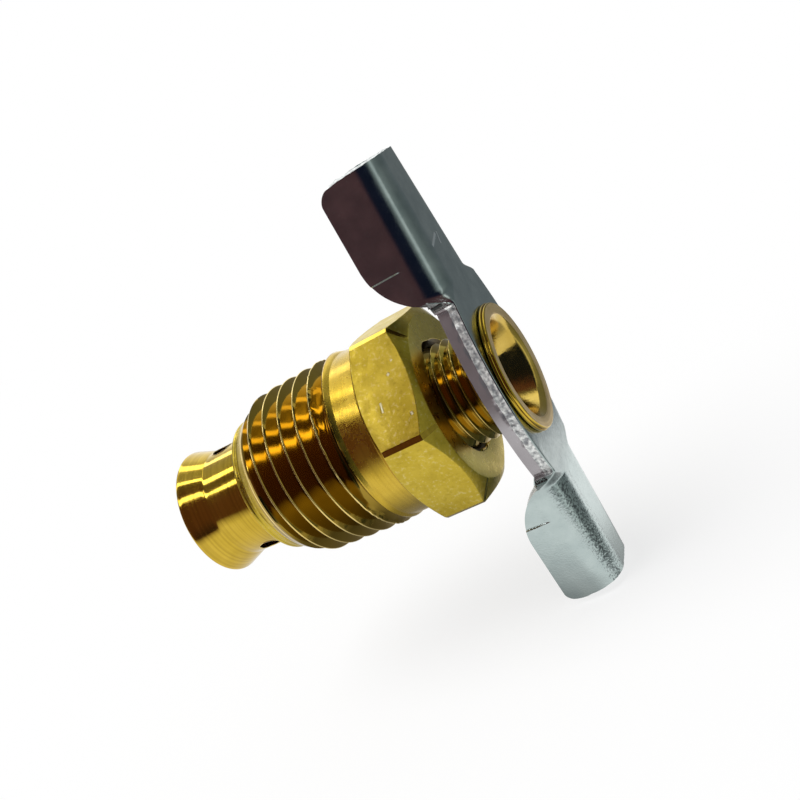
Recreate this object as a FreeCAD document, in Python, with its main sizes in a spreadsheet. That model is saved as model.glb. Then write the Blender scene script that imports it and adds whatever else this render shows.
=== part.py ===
# Drain cock: a screwed body with a taper pipe thread, a hollow stem with a cone head, and a wing handle.
# Millimetres. The axis of the thread is X, the handle end is +X, and the wings lie along Z at rest.
# The origin is on the axis, at the side of the hexagon where the shank begins.
import FreeCAD, Part
import Sketcher
import math
import os
import re

# Driving dimensions, kept in the sheet under these names
SIZES = {
    # pipe thread of the body, one quarter inch with 18 threads to the inch
    "pipe_pitch": 1.411,
    "pipe_crest_radius": 6.57,
    "pipe_taper_angle": 1.79,
    "pipe_crest_flat": 0.106,
    "pipe_thread_length": 9.5,
    "pipe_flank_angle": 30,
    "pipe_runout_length": 1.2,
    "pipe_crest_fade": 0.35,
    "lead_in_angle": 30,
    # body round the stem
    "nose_radius": 5.4,
    "nose_length": 0.7,
    "nose_land": 0.3,
    "shank_radius": 6.58,
    "shank_length": 1.95,
    "hex_flats": 14.0,
    "hex_length": 4.72,
    "hex_face_radius": 6.5,
    "hex_chamfer_angle": 30,
    "hex_turn": -4.8,
    "countersink_radius": 4.45,
    "countersink_angle": 45,
    "nose_bore_depth": 4.8,
    "drill_angle": 59,
    "thread_clearance": 0.04,
    "neck_clearance": 0.06,
    "seat_gap": 0.12,
    "close_travel": 3.9,
    # hollow stem
    "stem_thread_radius": 4.0,
    "neck_radius": 4.35,
    "neck_length": 3.6,
    "head_radius": 5.1,
    "head_length": 2.35,
    "head_from_nose": 3.4,
    "head_edge": 0.1,
    "cross_hole_radius": 0.9,
    "cross_hole_from_head": 0.75,
    "cross_hole_turn": -10,
    "bore_radius": 2.75,
    "bore_past_hole": 1.2,
    "tenon_radius": 3.6,
    "lip_radius": 5.05,
    "lip_thickness": 0.5,
    "lip_back_bevel": 0.12,
    "lip_front_bevel": 0.28,
    "mouth_radius": 3.7,
    "mouth_depth": 2.6,
    # wing handle
    "handle_from_hex": 3.03,
    "sheet_thickness": 1.5,
    "hub_half_width": 5.2,
    "hub_half_length": 7.0,
    "hub_end_half_width": 3.9,
    "wing_reach": 17.4,
    "wing_root": 6.5,
    "wing_root_half_width": 4.05,
    "wing_lean_angle": 4.5,
    "bend_radius": 2.0,
    "flange_depth": 4.55,
    "flange_start": 7.15,
    "flange_inner_round": 4.3,
    "flange_outer_round": 1.1,
    "tenon_clearance": 0.03,
    "handle_clearance": 0.03,
}

# Places that follow from the driving dimensions
PLACES = {
    "thread_end": "-shank_length",
    "thread_start": "thread_end - pipe_thread_length",
    "nose_end": "thread_start - nose_length",
    "crest_slope": "tan(pipe_taper_angle)",
    "lead_in": "(pipe_crest_radius - nose_radius) / (tan(lead_in_angle) - crest_slope)",
    "fade_start": "thread_end - pipe_crest_fade",
    "last_groove": "thread_end - pipe_runout_length",
    "pipe_thread_depth": "(pipe_pitch - pipe_crest_flat) / 2 / tan(pipe_flank_angle)",
    "groove_overrun": "pipe_crest_flat / 2",
    "groove_half": "(pipe_thread_depth + groove_overrun) * tan(pipe_flank_angle)",
    "hex_corner": "hex_flats / sqrt(3)",
    "blank_radius": "hex_corner + cut_margin",
    "cut_margin": "hex_flats / 40",
    "chamfer_slope": "tan(hex_chamfer_angle)",
    "front_chamfer": "hex_length - (blank_radius - hex_face_radius) * chamfer_slope",
    "back_chamfer": "(blank_radius - shank_radius) * chamfer_slope",
    "body_bore": "stem_thread_radius + thread_clearance",
    "nose_bore": "neck_radius + neck_clearance",
    "countersink_depth": "(countersink_radius - body_bore) / tan(countersink_angle)",
    "nose_step": "(nose_bore - body_bore) / tan(drill_angle)",
    "head_slope": "(head_radius - neck_radius) / head_length",
    "seat_radius": "neck_radius + head_slope * (close_travel + seat_gap - head_from_nose)",
    "seat_depth": "(seat_radius - nose_bore) / head_slope",
    "nose_bevel_length": "nose_radius - seat_radius - nose_land",
    "nose_bevel_depth": "nose_bevel_length / 3",
    "head_start": "nose_end - head_from_nose",
    "tip": "head_start - head_length",
    "cross_hole_place": "head_start + cross_hole_from_head",
    "bore_end": "cross_hole_place - bore_past_hole",
    "neck_end": "head_start + neck_length",
    "plate_back": "hex_length + handle_from_hex",
    "plate_front": "plate_back + sheet_thickness",
    "stem_shoulder": "plate_back - handle_clearance",
    "lip_back": "plate_front + handle_clearance",
    "lip_front": "lip_back + lip_thickness",
    "flange_back": "plate_front - flange_depth",
    "inner_bend": "bend_radius - sheet_thickness",
    "dome_rise": "flange_back + flange_inner_round - plate_back",
    "flange_spring": "flange_start + flange_inner_round"
                     " - sqrt(flange_inner_round * flange_inner_round - dome_rise * dome_rise)",
    "wing_side": "wing_root_half_width * cos(wing_lean_angle)",
    "clear_of_sheet": "plate_front + sheet_thickness",
}

EXPRESSION_WORDS = {"tan", "cos", "sin", "sqrt"}
WORD = re.compile(r"[a-z][a-z_]*")

doc = FreeCAD.newDocument("drain_cock")
sheet = doc.addObject("Spreadsheet::Sheet", "sizes")
for row, (name, size) in enumerate(SIZES.items(), start=1):
    sheet.set("A%d" % row, name)
    sheet.set("B%d" % row, str(size))
    sheet.setAlias("B%d" % row, name)
doc.recompute()


def bound(text):
    """Write an expression of sizes and places in the sheet's own names."""
    def put(match):
        word = match.group(0)
        if word in EXPRESSION_WORDS:
            return word
        if word in PLACES:
            return "(" + bound(PLACES[word]) + ")"
        return "sizes." + word
    return WORD.sub(put, text)


def number(text):
    """The present value of an expression, for a sketch's first drawing."""
    return float(sheet.evalExpression(bound(text)))


def new_body(name):
    body = doc.addObject("PartDesign::Body", name)
    body.Label = name
    return body


def plane(body, role):
    return next(item for item in body.Origin.OriginFeatures if item.Role == role)


def new_sketch(body, name, role, height=None, tilt=None):
    """A sketch on one of the body's planes, raised along the plane's normal or tilted about its first axis."""
    sketch = body.newObject("Sketcher::SketchObject", name)
    sketch.AttachmentSupport = [(plane(body, role), "")]
    sketch.MapMode = "FlatFace"
    if height is not None:
        sketch.setExpression("AttachmentOffset.Base.z", bound(height))
    if tilt is not None:
        first_axis = FreeCAD.Vector(1, 0, 0)
        base = sketch.AttachmentOffset.Base
        sketch.AttachmentOffset = FreeCAD.Placement(base, FreeCAD.Rotation(first_axis, number(tilt)))
        sketch.setExpression("AttachmentOffset.Rotation.Angle", bound(tilt))
    return sketch


def hold(sketch, name, kind, geometry, point, text):
    """Fix one coordinate or the radius of a piece of the sketch to an expression."""
    where = (geometry,) if point is None else (geometry, point)
    index = sketch.addConstraint(Sketcher.Constraint(kind, *where, number(text)))
    sketch.renameConstraint(index, name)
    sketch.setExpression("Constraints." + name, bound(text))


def draw_outline(sketch, name, corners, bends=None):
    """A closed outline through corners; bends gives a radius and a side for each run that is an arc."""
    bends = bends or {}
    spots = [FreeCAD.Vector(number(across), number(up), 0) for across, up in corners]
    ends = []
    for i, start in enumerate(spots):
        stop = spots[(i + 1) % len(spots)]
        if i in bends:
            radius, side = number(bends[i][0]), bends[i][1]
            chord = stop - start
            rise = radius - math.sqrt(max(radius ** 2 - (chord.Length / 2) ** 2, 0.0))
            normal = FreeCAD.Vector(chord.y, -chord.x, 0).normalize()
            crown = (start + stop) * 0.5 + normal * (rise * side)
            forward = (crown - start).cross(stop - crown).z > 0
            arc = Part.Arc(start, crown, stop) if forward else Part.Arc(stop, crown, start)
            run = sketch.addGeometry(arc, False)
            ends.append((run, 1, 2) if forward else (run, 2, 1))
        else:
            run = sketch.addGeometry(Part.LineSegment(start, stop), False)
            ends.append((run, 1, 2))
    for i, (run, first, last) in enumerate(ends):
        following = ends[(i + 1) % len(ends)]
        sketch.addConstraint(Sketcher.Constraint("Coincident", run, last, following[0], following[1]))
    for i, (run, first, last) in enumerate(ends):
        hold(sketch, "%s_across_%d" % (name, i), "DistanceX", run, first, corners[i][0])
        hold(sketch, "%s_up_%d" % (name, i), "DistanceY", run, first, corners[i][1])
        if i in bends:
            hold(sketch, "%s_bend_%d" % (name, i), "Radius", run, None, bends[i][0])


def draw_circle(sketch, name, across, up, radius):
    middle = FreeCAD.Vector(number(across), number(up), 0)
    circle = sketch.addGeometry(Part.Circle(middle, FreeCAD.Vector(0, 0, 1), number(radius)), False)
    hold(sketch, name + "_across", "DistanceX", circle, 3, across)
    hold(sketch, name + "_up", "DistanceY", circle, 3, up)
    hold(sketch, name + "_radius", "Radius", circle, None, radius)


def turned(body, name, sketch, kind="PartDesign::Revolution"):
    """A solid or a cut turned about the sketch's first axis, which is the axis of the valve."""
    feature = body.newObject(kind, name)
    feature.Profile = sketch
    feature.ReferenceAxis = (sketch, ["H_Axis"])
    feature.Angle = 360
    doc.recompute()


def cut_through(body, name, sketch):
    pocket = body.newObject("PartDesign::Pocket", name)
    pocket.Profile = sketch
    pocket.Type = "ThroughAll"
    pocket.Midplane = True
    return pocket


# Valve body

def crest(place):
    return "pipe_crest_radius + (%s - thread_start) * crest_slope" % place


def root(place):
    return crest(place) + " - pipe_thread_depth"


def make_valve_body():
    body = new_body("valve_body")
    section = new_sketch(body, "body_section", "XZ_Plane")
    draw_outline(section, "section", [
        ("nose_end", "seat_radius"),
        ("nose_end", "nose_radius - nose_bevel_length"),
        ("nose_end + nose_bevel_depth", "nose_radius - nose_bevel_depth"),
        ("nose_end + nose_bevel_length", "nose_radius"),
        ("thread_start", "nose_radius"),
        ("thread_start + lead_in", crest("thread_start + lead_in")),
        ("fade_start", crest("fade_start")),
        ("thread_end", "shank_radius"),
        ("0", "shank_radius"),
        ("back_chamfer", "blank_radius"),
        ("front_chamfer", "blank_radius"),
        ("hex_length", "hex_face_radius"),
        ("hex_length", "countersink_radius"),
        ("hex_length - countersink_depth", "body_bore"),
        ("nose_end + nose_bore_depth + nose_step", "body_bore"),
        ("nose_end + nose_bore_depth", "nose_bore"),
        ("nose_end + seat_depth", "nose_bore"),
    ])
    turned(body, "blank", section)

    grooves = new_sketch(body, "thread_grooves", "XZ_Plane")
    groove_count = int(number("(pipe_thread_length - pipe_runout_length) / pipe_pitch")) + 1
    for turn in range(groove_count):
        place = "(last_groove - %d * pipe_pitch)" % turn
        draw_outline(grooves, "groove_%d" % turn, [
            (place, root(place)),
            (place + " - groove_half", crest(place) + " + groove_overrun"),
            (place + " + groove_half", crest(place) + " + groove_overrun"),
        ])
    turned(body, "thread", grooves, kind="PartDesign::Groove")

    flats = new_sketch(body, "hexagon", "YZ_Plane")
    draw_circle(flats, "stock", "0", "0", "blank_radius + cut_margin")
    draw_outline(flats, "flat", [
        ("hex_corner * cos(hex_turn + %d)" % corner, "hex_corner * sin(hex_turn + %d)" % corner)
        for corner in range(0, 360, 60)
    ])
    cut_through(body, "hexagon_cut", flats)
    return body


# Hollow stem

def make_stem():
    body = new_body("stem")
    section = new_sketch(body, "stem_section", "XZ_Plane")
    draw_outline(section, "stem", [
        ("tip", "0"),
        ("tip", "head_radius - head_edge"),
        ("tip + head_edge", "head_radius - head_slope * head_edge"),
        ("head_start", "neck_radius"),
        ("neck_end", "neck_radius"),
        ("neck_end + neck_radius - stem_thread_radius", "stem_thread_radius"),
        ("stem_shoulder", "stem_thread_radius"),
        ("stem_shoulder", "tenon_radius"),
        ("lip_back", "tenon_radius"),
        ("lip_back", "lip_radius - lip_back_bevel"),
        ("lip_back + lip_back_bevel", "lip_radius"),
        ("lip_front - lip_front_bevel", "lip_radius"),
        ("lip_front", "lip_radius - lip_front_bevel"),
        ("lip_front", "mouth_radius"),
        ("lip_front - mouth_depth", "bore_radius"),
        ("bore_end", "bore_radius"),
        ("bore_end", "0"),
    ])
    turned(body, "turning", section)
    hole = new_sketch(body, "cross_hole", "XY_Plane", tilt="cross_hole_turn")
    draw_circle(hole, "hole", "cross_hole_place", "0", "cross_hole_radius")
    cut_through(body, "cross_hole_cut", hole)
    return body


# Wing handle, stamped from one sheet: a hub plate and two channel wings folded towards the body

def draw_half_wing(sketch, side):
    """Half the section of a wing: the web from the middle outwards, and the flange that is bent back."""
    outer = "%d * wing_side" % side
    bend = "%d * (wing_side - bend_radius)" % side
    inner = "%d * (wing_side - sheet_thickness)" % side
    draw_outline(sketch, "half_wing", [
        ("plate_back", "0"),
        ("plate_front", "0"),
        ("plate_front", bend),
        ("plate_front - bend_radius", outer),
        ("flange_back", outer),
        ("flange_back", inner),
        ("plate_front - bend_radius", inner),
        ("plate_back", bend),
    ], bends={2: ("bend_radius", side), 6: ("inner_bend", -side)})


def make_wing_handle():
    body = new_body("wing_handle")
    hub = new_sketch(body, "hub_outline", "YZ_Plane", height="plate_back")
    hub_rise = "(hub_half_width - hub_end_half_width)"
    hub_side = "(hub_half_length * hub_half_length + %s * %s) / (2 * %s)" % (hub_rise, hub_rise, hub_rise)
    draw_outline(hub, "hub", [
        ("hub_end_half_width", "-hub_half_length"),
        ("hub_end_half_width", "hub_half_length"),
        ("-hub_end_half_width", "hub_half_length"),
        ("-hub_end_half_width", "-hub_half_length"),
    ], bends={0: (hub_side, 1), 2: (hub_side, 1)})
    plate = body.newObject("PartDesign::Pad", "hub_plate")
    plate.Profile = hub
    plate.setExpression("Length", bound("sheet_thickness"))
    doc.recompute()

    halves = []
    for name, side in (("left", 1), ("right", -1)):
        lean = "%d * wing_lean_angle" % side
        section = new_sketch(body, name + "_section", "XY_Plane", height="wing_root", tilt=lean)
        draw_half_wing(section, side)
        half = body.newObject("PartDesign::Pad", name + "_half")
        half.Profile = section
        half.setExpression("Length", bound("wing_reach - wing_root + sheet_thickness"))
        halves.append(half)
        doc.recompute()

    trim = new_sketch(body, "flange_trim", "XZ_Plane")
    behind = "flange_back - sheet_thickness"
    draw_outline(trim, "inner", [
        ("plate_back", "wing_root - sheet_thickness"),
        ("plate_back", "flange_spring"),
        ("flange_back", "flange_start + flange_inner_round"),
        (behind, "flange_start + flange_inner_round"),
        (behind, "wing_root - sheet_thickness"),
    ], bends={1: ("flange_inner_round", -1)})
    draw_outline(trim, "outer", [
        (behind, "wing_reach - flange_outer_round"),
        ("flange_back", "wing_reach - flange_outer_round"),
        ("flange_back + flange_outer_round", "wing_reach"),
        ("clear_of_sheet", "wing_reach"),
        ("clear_of_sheet", "wing_reach + 2 * sheet_thickness"),
        (behind, "wing_reach + 2 * sheet_thickness"),
    ], bends={1: ("flange_outer_round", -1)})
    trimmed = cut_through(body, "flange_trim_cut", trim)
    doc.recompute()

    both = body.newObject("PartDesign::Mirrored", "both_wings")
    both.Originals = halves + [trimmed]
    both.MirrorPlane = (plane(body, "XY_Plane"), [""])
    body.Tip = both
    doc.recompute()

    hole = new_sketch(body, "tenon_hole", "YZ_Plane")
    draw_circle(hole, "tenon", "0", "0", "tenon_radius + tenon_clearance")
    cut_through(body, "tenon_hole_cut", hole)
    return body


def write(bodies):
    doc.recompute()
    for item in doc.Objects:
        if "Invalid" in item.State or "Error" in item.State:
            raise RuntimeError("failed: " + item.Name)
    os.makedirs("parts", exist_ok=True)
    for body in bodies:
        if body.Shape.isNull() or not body.Shape.isValid():
            raise RuntimeError("bad shape: " + body.Label)
    for body in bodies:
        body.Shape.exportStep(os.path.join("parts", body.Label + ".step"))
        print(body.Label, "volume %.2f" % body.Shape.Volume, "solids %d" % len(body.Shape.Solids))


write([make_valve_body(), make_stem(), make_wing_handle()])
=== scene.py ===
# Drain cock: the looks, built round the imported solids.
# Sizes are in millimetres and degrees in this script; Blender's own units are metres.
import math

import bmesh
import bpy
from mathutils import Matrix, Vector, noise


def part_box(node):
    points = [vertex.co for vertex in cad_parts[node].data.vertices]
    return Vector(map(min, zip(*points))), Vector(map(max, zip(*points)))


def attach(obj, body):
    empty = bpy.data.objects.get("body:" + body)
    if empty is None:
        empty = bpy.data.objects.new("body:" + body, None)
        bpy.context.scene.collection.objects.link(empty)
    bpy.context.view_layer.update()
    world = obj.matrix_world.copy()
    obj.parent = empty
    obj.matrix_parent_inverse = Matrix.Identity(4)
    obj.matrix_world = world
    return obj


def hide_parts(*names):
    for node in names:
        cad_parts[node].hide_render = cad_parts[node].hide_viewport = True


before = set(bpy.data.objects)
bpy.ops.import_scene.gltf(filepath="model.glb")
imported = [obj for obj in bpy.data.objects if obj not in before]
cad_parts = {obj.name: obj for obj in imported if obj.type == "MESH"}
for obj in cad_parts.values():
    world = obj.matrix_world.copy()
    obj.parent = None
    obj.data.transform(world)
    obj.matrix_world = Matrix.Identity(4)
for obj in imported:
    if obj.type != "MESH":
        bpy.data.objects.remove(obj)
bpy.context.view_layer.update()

MM = 0.001
SHARP_EDGE = 38
MERGE_DISTANCE = 0.002
SLIVER = 0.0005
HOLE_SIDES = 72
POINT_RADIUS = 0.0001
ROUND_SHARE = 0.45


def reach(node, axis):
    """The lowest and highest place of a solid along one axis, in millimetres."""
    low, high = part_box(node)
    return low[axis] / MM, high[axis] / MM


# Places along the valve's axis, read from the solids
NOSE_END, HEX_FRONT = reach("valve_body", 0)
TIP, LIP_FRONT = reach("stem", 0)
FLANGE_BACK, PLATE_FRONT = reach("wing_handle", 0)
WING_REACH = reach("wing_handle", 2)[1]

# Pipe thread
PIPE_PITCH = 1.411
PIPE_DEPTH = 1.10
PIPE_CREST = 6.57
PIPE_SLOPE = math.tan(math.radians(1.79))
PIPE_SHIFT = 0.19
LEAD_IN_SLOPE = math.tan(math.radians(30))
NOSE_LENGTH = 0.7
THREAD_LENGTH = 9.5
RUNOUT = 1.2
CREST_FADE = 0.35
BURR_HEIGHT = 0.09
BURR_RISE = (2.3, 1.6)
BURR_FALL = (0.9, 0.3)
TORN_LENGTH = 1.05
SHANK_SIDE = 0.42
LEAD_IN_LENGTH = 0.55
THREAD_START = NOSE_END + NOSE_LENGTH
THREAD_END = THREAD_START + THREAD_LENGTH

# Body
NOSE_RADIUS = 5.4
NOSE_LINE = NOSE_END + 0.46
NOSE_LINE_HALF_WIDTH = 0.04
NOSE_LINE_DEPTH = 0.05
NOSE_ROUND_LENGTH = 0.24
NOSE_ROUND_DEPTH = 0.16
NOSE_SOFTNESS = 0.09
SEAT_RADIUS = 4.548
SEAT_DEPTH = 0.43
NOSE_LAND = 0.3
NOSE_BORE = 4.41
NOSE_BORE_END = NOSE_END + 4.8
NOSE_STEP = 0.222
SHANK_RADIUS = 6.58
HEX_APOTHEM = 7.0
HEX_CORNER_RADIUS = HEX_APOTHEM / math.cos(math.radians(30))
HEX_CORNER_FLAT = 0.22
HEX_FACE_RADIUS = 6.5
HEX_TURN = -4.8
CHAMFER_SLOPE = math.tan(math.radians(30))
COUNTERSINK_RADIUS = 4.45
COUNTERSINK_NICK = 0.42
COUNTERSINK_NICK_ANGLE = 104
COUNTERSINK_NICK_DEPTH = 0.9
COUNTERSINK_NICK_SPREAD = 13
HEX_SOFTNESS = 0.05
BORE_BURRS = ((243, 262, 0.10), (259, 281, 0.13))
BORE_BURR_STEPS = 26
BORE_BURR_ENDS = 0.35
BORE_BURR_MEAN = 0.75
BORE_BURR_SPREAD = 0.6
BORE_BURR_SINK = 0.06
BORE_BURR_WAVE = 0.1
BORE_BURR_INSET = 0.12
BORE_BURR_THINNEST = 0.02
BODY_BORE = 4.04

# Stem
STEM_PITCH = 0.75
STEM_DEPTH = 0.42
STEM_CREST = 4.0
STEM_SHIFT = 0.0
STEM_THREAD_START = -0.6
STEM_RUN_IN = 0.4
STEM_RUN_OUT = 0.3
STEM_SIDES = 168
STEM_SOFTNESS = 0.08
STEM_LONGEST = 0.3
NECK_STEP = 0.35
NECK_RADIUS = 4.35
HEAD_RADIUS = 5.1
HEAD_LENGTH = 2.1
HEAD_EDGE = 0.1
HEAD_EDGE_DROP = 0.03
NECK_LENGTH = 3.85
CROSS_HOLE_RADIUS = 0.9
HEAD_START = TIP + HEAD_LENGTH
CROSS_HOLE = TIP + 3.1
MOUTHS = ((86, CROSS_HOLE + 0.2), (236, CROSS_HOLE + 0.75))
HOLE_BURR_LIFT = NOSE_BORE - 0.02 - NECK_RADIUS
BORE_RADIUS = 2.75
BORE_END = CROSS_HOLE - 1.2
TENON_RADIUS = 3.6
LIP_RADIUS = 4.94
LIP_LAND = 3.98
LIP_LAND_BEVEL = 0.36
LIP_BACK_INSET = 0.45
LIP_BEADS = ((0.15, 0.15, 0.15, -80, 55), (0.36, 0.22, 0.14, -55, 75))
LIP_FRONT_BREAK = (0.03, 0.36)
LIP_FACE_INSET = 0.55
LIP_FACE_DISH = 0.04
MOUTH_DEPTH = 2.6
MOUTH_FLARE = 0.05
MOUTH_RUN_OUT = 0.2
MOUTH_SOFTNESS = 0.16
MOUTH_STEPS = 5
LAND_BANDS = 10
FLARE_BANDS = 21
BEAD_STEPS = 8
HOLE_BURR_STEPS = 60
HOLE_BURR_SIZES = (0.03, 0.075)
HOLE_DEPTH = 5
GAP = 0.03

# Wing handle
SHEET = 1.5
PLATE_BACK = PLATE_FRONT - SHEET
HUB_HALF_WIDTH = 5.2
HUB_HALF_LENGTH = 7.0
HUB_END_HALF_WIDTH = 3.9
WING_ROOT = 6.5
WING_ROOT_HALF_WIDTH = 4.05
WING_LEAN = math.tan(math.radians(4.5))
BEND = 2.0
EDGE_BREAK = 0.12
DOME_START = 7.15
DOME_ROUND = 4.3
FLANGE_OUTER_ROUND = 1.1
UPPER_FLANGE_MORE = 0.18
LOWER_FLANGE_LESS = 0.18
UPPER_END_SLOPES = (0.24, 0.06)
LOWER_END_SLOPES = (0.32, 0.62)
RIDGES = ((6.62, 0.5, 0.30), (7.14, 0.46, 0.26))
RIDGE_RISE = 0.05
CREASE = 10.2
CREASE_HALF = 0.05
CREASE_WIDTH = 0.04
CREASE_DEPTH = 0.045
CREASE_SPAN = (1.0, 1.5)
SHOULDER_PLACE = 7.2
SHOULDER_SOFTNESS = 0.9
SHOULDER_DEPTH = 0.10
SHOULDER_SPAN = (7.6, 8.4)
FOLD_SPAN = (6.7, 7.9)
NECK_SPAN = (6.5, 7.3)
NECK_DROP = 0.25
DOME_LEAD = 0.02
TORN_SHARE = (0.45, 0.55)
TORN_SPAN = (6.5, 6.8)
TORN_COARSE = 0.10
TORN_FINE = 0.08
TORN_INSET = 0.03
FRACTURE_END = 6.75
END_WEAR = 2.2
END_WAVE = 0.05
END_ROUGHNESS = 0.13
END_DISH = 0.03
END_STEPS = 5
TENON_DRILL = 8
WING_SPANS = (
    (0, 6.4, 0.11), (6.4, 7.9, 0.035), (7.9, 9.9, 0.1),
    (9.9, 10.5, 0.02), (10.5, 16.2, 0.12), (16.2, WING_REACH, 0.06),
)
TENON_HOLE = TENON_RADIUS + GAP
END_LIMIT = WING_REACH - 0.02
STEM_SHOULDER = PLATE_BACK - GAP


# Mesh helpers

def polar(x, radius, angle):
    return (x, radius * math.cos(angle), radius * math.sin(angle))


def revolve(outline, angles):
    return [[polar(x, radius, angle) for angle in angles] for x, radius in outline]


def smooth(value, low, high):
    t = min(max((value - low) / (high - low), 0.0), 1.0)
    return t * t * (3 - 2 * t)


def bell(value):
    return math.exp(-value * value)


def rough(*place):
    return noise.noise(Vector(place))


def soften(outline, size, steps=3):
    """Round the corners of an open outline, with the same number of points whatever its shape."""
    softened = [outline[0]]
    for before, corner, after in zip(outline, outline[1:], outline[2:]):
        here = Vector(corner)
        back = Vector(before) - here
        ahead = Vector(after) - here
        start = here + back.normalized() * min(size, back.length * ROUND_SHARE)
        stop = here + ahead.normalized() * min(size, ahead.length * ROUND_SHARE)
        for step in range(steps + 1):
            t = step / steps
            spot = start * (1 - t) ** 2 + here * 2 * t * (1 - t) + stop * t ** 2
            softened.append(tuple(spot))
    softened.append(outline[-1])
    return softened


def divide(outline, longest):
    """Split the long lines of an outline into short ones."""
    dense = []
    for (x, radius), (next_x, next_radius) in zip(outline, outline[1:]):
        steps = max(1, math.ceil(math.hypot(next_x - x, next_radius - radius) / longest))
        for step in range(steps):
            t = step / steps
            dense.append((x + (next_x - x) * t, radius + (next_radius - radius) * t))
    dense.append(outline[-1])
    return dense


class Shell:
    """The points and faces of one piece, gathered in millimetres."""

    def __init__(self):
        self.points = []
        self.faces = []
        self.marks = []

    def face(self, corners, mark):
        self.faces.append(corners)
        self.marks.append(mark)

    def rings(self, rows, mark_at):
        """Closed rows of points, each joined to the next; mark_at gives a face's material."""
        first = len(self.points)
        count = len(rows[0])
        for row in rows:
            self.points.extend(row)
        for band in range(len(rows) - 1):
            here = first + band * count
            for column in range(count):
                following = (column + 1) % count
                self.face((here + column, here + following,
                           here + count + following, here + count + column), mark_at(band, column))

    def helix(self, angles, pitch, start, end, shift, phases, radius_at, mark_at):
        """A right-hand thread from start to end; phases are the places across one turn that get a line."""
        first = len(self.points)
        per_turn = len(phases)
        turns = math.ceil((end - start) / pitch) + 2
        lines = [turn + phase for turn in range(-2, turns) for phase in phases]
        for angle in angles:
            lead = angle / math.tau
            for line in lines:
                place = start + shift + pitch * (line + lead)
                place = min(max(place, start), end)
                self.points.append(polar(place, radius_at(place, line % 1.0, angle), angle))
        rows = len(lines)
        for column in range(len(angles)):
            last = column == len(angles) - 1
            step = per_turn if last else 0
            here = first + column * rows
            there = first if last else here + rows
            for row in range(rows - 1):
                low = min(row + step, rows - 1)
                high = min(row + 1 + step, rows - 1)
                near_crest = row % per_turn in (0, 1, per_turn - 1, per_turn - 2)
                mark = mark_at(self.points[here + row][0], near_crest)
                self.face((here + row, there + low, there + high, here + row + 1), mark)

    def cord(self, path, mark, closed):
        """A thin rod along a path of (place, outward, sideways, size)."""
        around = 6
        rows = []
        for place, outward, sideways, size in path:
            row = []
            for step in range(around):
                turn = math.tau * step / around
                spoke = outward * math.sin(turn) + sideways * math.cos(turn)
                row.append(tuple(place + spoke * size))
            rows.append(row)
        if closed:
            rows.append(rows[0])
        else:
            rows.insert(0, [tuple(path[0][0])] * around)
            rows.append([tuple(path[-1][0])] * around)
        self.rings(rows, lambda band, column: mark)

    def piece(self, name, materials):
        mesh = bpy.data.meshes.new(name)
        mesh.from_pydata([Vector(point) * MM for point in self.points], [], self.faces)
        for polygon, mark in zip(mesh.polygons, self.marks):
            polygon.material_index = mark
        for material in materials:
            mesh.materials.append(material)
        work = bmesh.new()
        work.from_mesh(mesh)
        bmesh.ops.remove_doubles(work, verts=work.verts, dist=MERGE_DISTANCE * MM)
        bmesh.ops.dissolve_degenerate(work, edges=work.edges, dist=SLIVER * MM)
        bmesh.ops.recalc_face_normals(work, faces=work.faces)
        work.to_mesh(mesh)
        work.free()
        finish_shading(mesh)
        piece = bpy.data.objects.new(name, mesh)
        bpy.context.scene.collection.objects.link(piece)
        return piece


def finish_shading(mesh):
    mesh.shade_smooth()
    mesh.set_sharp_from_angle(angle=math.radians(SHARP_EDGE))


def drill(piece, middle, direction, radius, length):
    """Cut a round hole right through a piece."""
    cutter = Shell()
    turn = Vector((0, 0, 1)).rotation_difference(Vector(direction).normalized())
    rows = []
    for side in (-length / 2, length / 2):
        for size in ((POINT_RADIUS, radius) if side < 0 else (radius, POINT_RADIUS)):
            row = []
            for step in range(HOLE_SIDES):
                angle = math.tau * step / HOLE_SIDES
                spot = Vector((size * math.cos(angle), size * math.sin(angle), side))
                row.append(tuple(Vector(middle) + turn @ spot))
            rows.append(row)
    cutter.rings(rows, lambda band, column: 0)
    tool = cutter.piece("hole_cutter", [])
    cut = piece.modifiers.new("hole", "BOOLEAN")
    cut.operation = "DIFFERENCE"
    cut.solver = "EXACT"
    cut.object = tool
    bake_modifiers(piece)
    bpy.data.objects.remove(tool)
    finish_shading(piece.data)


def join(piece, other):
    """Put another piece's mesh into a piece."""
    work = bmesh.new()
    work.from_mesh(piece.data)
    work.from_mesh(other.data)
    work.to_mesh(piece.data)
    work.free()
    bpy.data.objects.remove(other)


def bake_modifiers(piece):
    view = bpy.context.evaluated_depsgraph_get()
    done = bpy.data.meshes.new_from_object(piece.evaluated_get(view))
    piece.modifiers.clear()
    piece.data = done


# Material helpers

SCRATCH_CORE = 0.4
RING_DRIFT = 0.015


def fill(node, values):
    """Set a node's inputs by name."""
    for name, value in values.items():
        node.inputs[name].default_value = value


def new_material(name):
    material = bpy.data.materials.new(name)
    material.use_nodes = True
    tree = material.node_tree
    return material, tree, tree.nodes["Principled BSDF"]


def add_noise(tree, place, scale, detail, stretch=(1, 1, 1)):
    mapping = tree.nodes.new("ShaderNodeMapping")
    fill(mapping, {"Scale": stretch})
    tree.links.new(place, mapping.inputs["Vector"])
    cloud = tree.nodes.new("ShaderNodeTexNoise")
    fill(cloud, {"Scale": scale, "Detail": detail})
    tree.links.new(mapping.outputs["Vector"], cloud.inputs["Vector"])
    return cloud.outputs["Fac"]


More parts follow.
